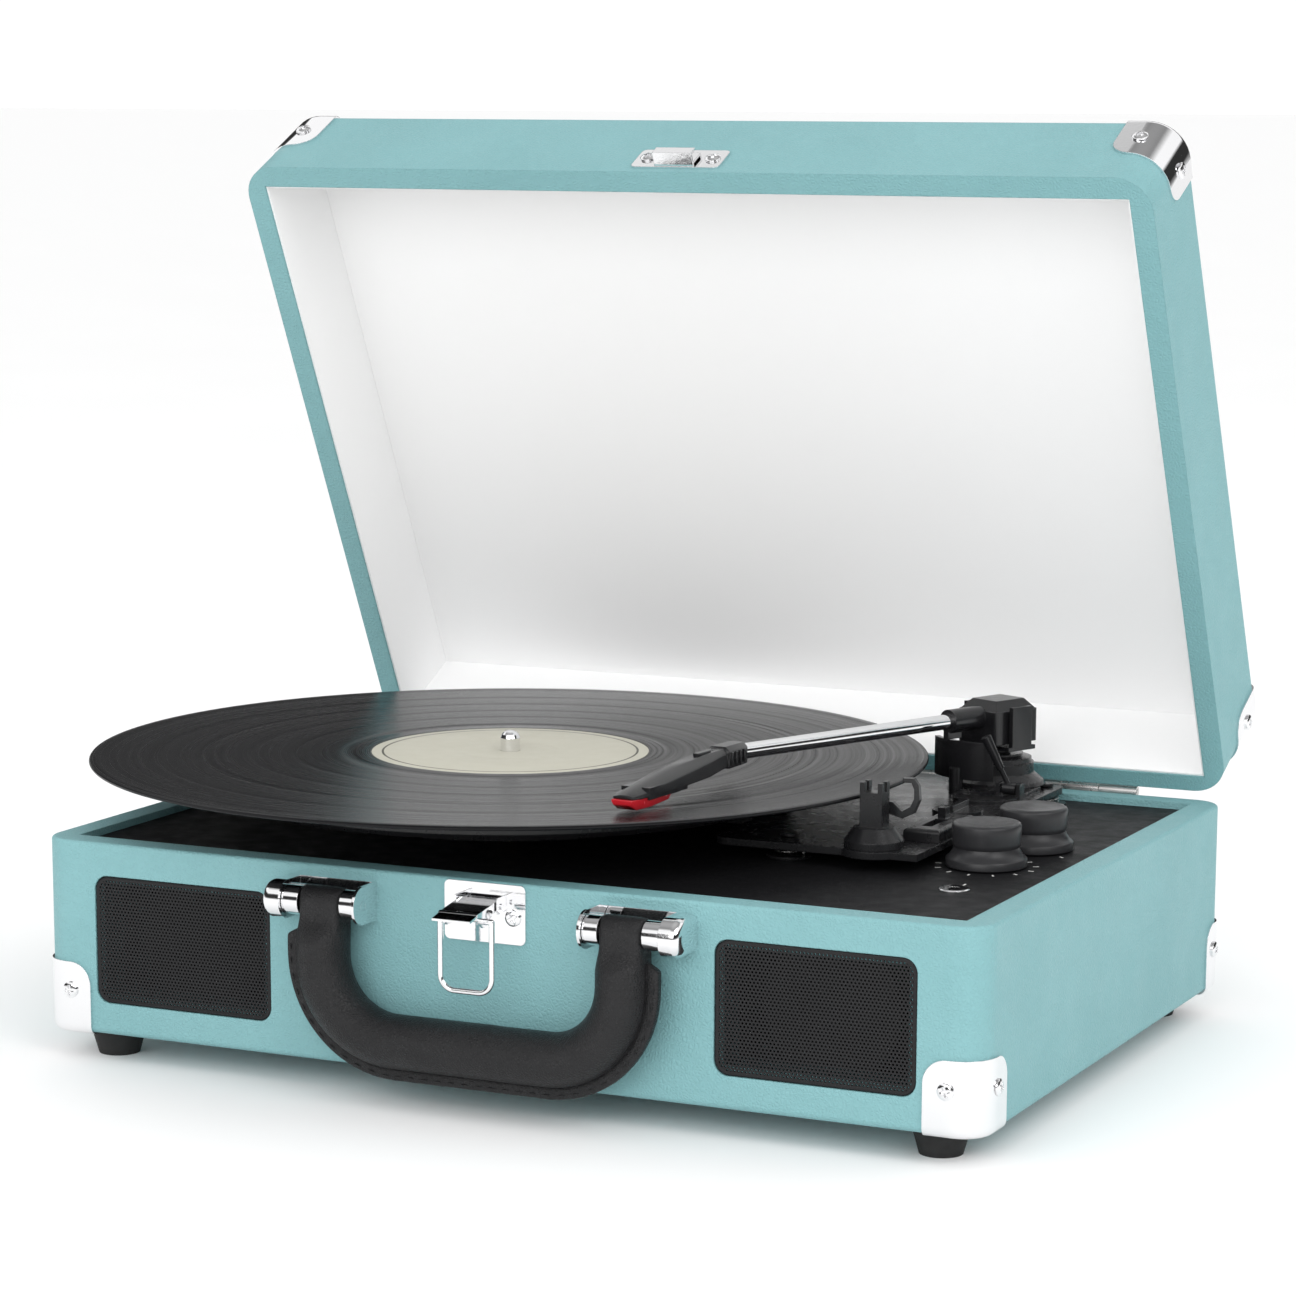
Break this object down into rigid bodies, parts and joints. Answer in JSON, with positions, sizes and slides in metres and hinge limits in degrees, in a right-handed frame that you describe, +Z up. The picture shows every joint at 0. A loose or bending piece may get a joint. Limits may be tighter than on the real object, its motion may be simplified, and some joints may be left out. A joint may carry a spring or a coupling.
{
  "type": "portable suitcase record player",
  "caption": "Suitcase record player: hinged case with lid, belt-driven platter with record, tonearm, rotary knobs, front speakers, latch and carrying handle.",
  "frame": {"origin": "on the floor under the centre of the case", "axes": "+X to the player's right, +Y to the back (hinge side), +Z up"},
  "size_m": [0.3799, 0.3204, 0.3238],
  "materials": {
    "teal_leatherette": "fine-grained leatherette, satin",
    "lid_lining": "smooth matt lining paper",
    "deck_black": "fine textured",
    "black_plastic": "moulded, slightly glossy",
    "knob_plastic": "satin charcoal",
    "chrome": "polished",
    "hinge_steel": "plain rolled steel",
    "grille_black": "powder coated",
    "rubber": "matt",
    "vinyl": "glossy pressed vinyl with grooves",
    "label_paper": "printed paper, matt",
    "handle_leather": "padded grained leatherette",
    "stylus_red": "translucent moulded plastic",
    "circuit_green": "solder mask",
    "speaker_paper": "doped paper",
    "bearing_brass": "turned"
  },
  "bodies": {
    "base": {"base_case": "teal_leatherette", "case_screws": "chrome", "base_corners": "chrome", "rubber_feet": "rubber", "deck_plate": "deck_black", "hinge_leaf_base": "hinge_steel", "hinge_pin": "hinge_steel", "speaker_grille_left": "grille_black", "speaker_grille_right": "grille_black", "speaker_left": "speaker_paper", "speaker_right": "speaker_paper", "mechanism_chassis": "black_plastic", "suspension_mounts": "black_plastic", "suspension_springs": "hinge_steel", "platter_bearing": "bearing_brass", "motor": "hinge_steel", "drive_belt": "rubber", "tonearm_pedestal": "black_plastic", "arm_rest": "black_plastic", "autostop_housing": "black_plastic", "volume_control": "hinge_steel", "function_switch": "hinge_steel", "headphone_socket": "chrome", "rear_panel": "black_plastic", "rear_sockets": "chrome", "circuit_board": "circuit_green", "speaker_cables": "rubber", "latch_plate": "chrome", "latch_pin": "chrome", "handle_brackets": "chrome", "handle_pins": "chrome"},
    "lid": {"lid_case": "teal_leatherette", "lid_liner": "lid_lining", "lid_corners": "chrome", "lid_screws": "chrome", "hinge_leaf_lid": "hinge_steel", "lid_catch": "chrome"},
    "turntable": {"platter": "black_plastic", "slip_mat": "rubber", "spindle": "chrome", "record": "vinyl", "record_labels": "label_paper"},
    "motor_rotor": {"motor_pulley": "bearing_brass"},
    "arm_swivel": {"tonearm_yoke": "black_plastic"},
    "tonearm": {"arm_block": "black_plastic", "arm_tube": "chrome", "headshell": "black_plastic", "cartridge": "black_plastic", "stylus_holder": "stylus_red"},
    "lifter": {"arm_lifter": "black_plastic"},
    "cue": {"cue_lever": "black_plastic"},
    "rest_clip": {"arm_clip": "black_plastic"},
    "autostop": {"autostop_slider": "black_plastic"},
    "selector": {"speed_selector": "black_plastic"},
    "volume": {"volume_knob": "knob_plastic"},
    "function": {"function_knob": "knob_plastic"},
    "latch": {"latch_lever": "chrome"},
    "bail": {"latch_bail": "chrome"},
    "handle": {"handle_grip": "handle_leather", "handle_eyes": "chrome"}
  },
  "joints": [
    {"name": "lid_hinge", "type": "hinge", "parent": "base", "child": "lid", "pos_m": [0, 0.1272, 0.0785], "axis": [-1, 0, 0], "range_deg": [-1.2, 41]},
    {"name": "platter_spin", "type": "hinge", "parent": "base", "child": "turntable", "pos_m": [-0.0525, -0.0055, 0.09], "axis": [0, 0, -1], "continuous": true},
    {"name": "motor_spin", "type": "hinge", "parent": "base", "child": "motor_rotor", "pos_m": [-0.01, 0.06811, 0.088], "axis": [0, 0, -1], "continuous": true},
    {"name": "arm_swing", "type": "hinge", "parent": "base", "child": "arm_swivel", "pos_m": [0.0966, 0.0955, 0.1], "axis": [0, 0, 1], "range_deg": [-22, 25]},
    {"name": "arm_lift", "type": "hinge", "parent": "arm_swivel", "child": "tonearm", "pos_m": [0.0966, 0.0955, 0.109], "axis": [-0.9171, 0.3987, 0], "range_deg": [0, 3.1]},
    {"name": "lifter_rise", "type": "slide", "parent": "base", "child": "lifter", "axis": [0, 0, 1], "range_m": [0, 0.00175]},
    {"name": "cue_tip", "type": "hinge", "parent": "base", "child": "cue", "pos_m": [0.111, 0.0705, 0.0865], "axis": [1, 0, 0], "range_deg": [0, 40]},
    {"name": "clip_swing", "type": "hinge", "parent": "base", "child": "rest_clip", "pos_m": [0.1042, -0.0303, 0.0958], "axis": [0, -1, 0], "range_deg": [0, 70]},
    {"name": "autostop_slide", "type": "slide", "parent": "base", "child": "autostop", "axis": [0, 1, 0], "range_m": [-0.012, 0.0015]},
    {"name": "speed_turn", "type": "hinge", "parent": "base", "child": "selector", "pos_m": [0.106, 0.031, 0.082], "axis": [0, 0, 1], "range_deg": [-20, 20]},
    {"name": "volume_turn", "type": "hinge", "parent": "base", "child": "volume", "pos_m": [0.1348, -0.017, 0.07], "axis": [0, 0, -1], "range_deg": [0, 300]},
    {"name": "function_turn", "type": "hinge", "parent": "base", "child": "function", "pos_m": [0.1388, 0.0185, 0.07], "axis": [0, 0, -1], "range_deg": [0, 60]},
    {"name": "latch_close", "type": "hinge", "parent": "base", "child": "latch", "pos_m": [0, -0.1295, 0.071], "axis": [1, 0, 0], "range_deg": [0, 75]},
    {"name": "bail_swing", "type": "hinge", "parent": "latch", "child": "bail", "pos_m": [0, -0.139, 0.0675], "axis": [1, 0, 0], "range_deg": [-255, 0]},
    {"name": "handle_swing", "type": "hinge", "parent": "base", "child": "handle", "pos_m": [0, -0.1345, 0.0675], "axis": [-1, 0, 0], "range_deg": [0, 95]}
  ],
  "couplings": [
    {"joint": "motor_spin", "follows": "platter_spin", "ratio": 14},
    {"joint": "lifter_rise", "follows": "arm_lift", "m_per_rad": 0.032341},
    {"joint": "cue_tip", "follows": "arm_lift", "ratio": 12.901},
    {"joint": "bail_swing", "follows": "latch_close", "ratio": -3.4}
  ]
}
